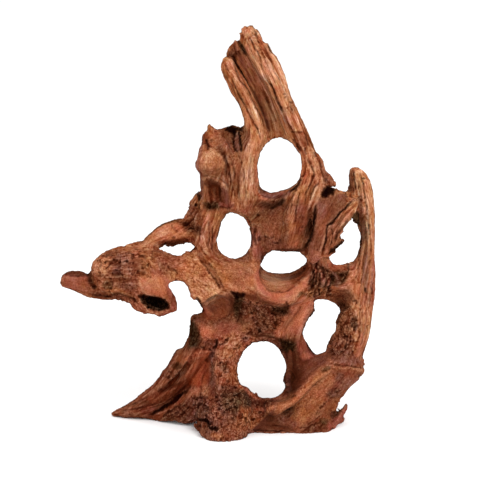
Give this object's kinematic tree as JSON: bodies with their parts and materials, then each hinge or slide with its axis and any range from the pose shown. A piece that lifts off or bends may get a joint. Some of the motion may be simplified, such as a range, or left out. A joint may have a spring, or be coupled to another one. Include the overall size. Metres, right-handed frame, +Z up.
{
  "type": "aquarium driftwood",
  "caption": "Upright eroded root with through holes, a split spar, a side arm, a curved horn and a broad flat foot, for planting and shelter in an aquarium.",
  "frame": {"origin": "On the flat underside, under the burl at the foot, on the line about which the front outline was drawn", "axes": "+Z up along the standing piece, -Y towards the front viewer, +X to the viewer's right"},
  "size_m": [0.3189, 0.1094, 0.4073],
  "materials": {
    "bleached_sapwood": "matt, dry, split along the grain, tan on its ridges",
    "red_heartwood": "matt, water-worn, reddish brown, smooth inside its holes",
    "rough_burl": "matt, pitted and knotty, dark in its pits"
  },
  "bodies": {
    "root": {"split_spar": "bleached_sapwood", "knobbed_shoulder": "bleached_sapwood", "flank_and_flap": "red_heartwood", "heart": "red_heartwood", "left_arm": "rough_burl", "horn": "bleached_sapwood", "burl_foot": "rough_burl", "splinter_root": "red_heartwood", "right_foot": "red_heartwood"}
  },
  "joints": []
}
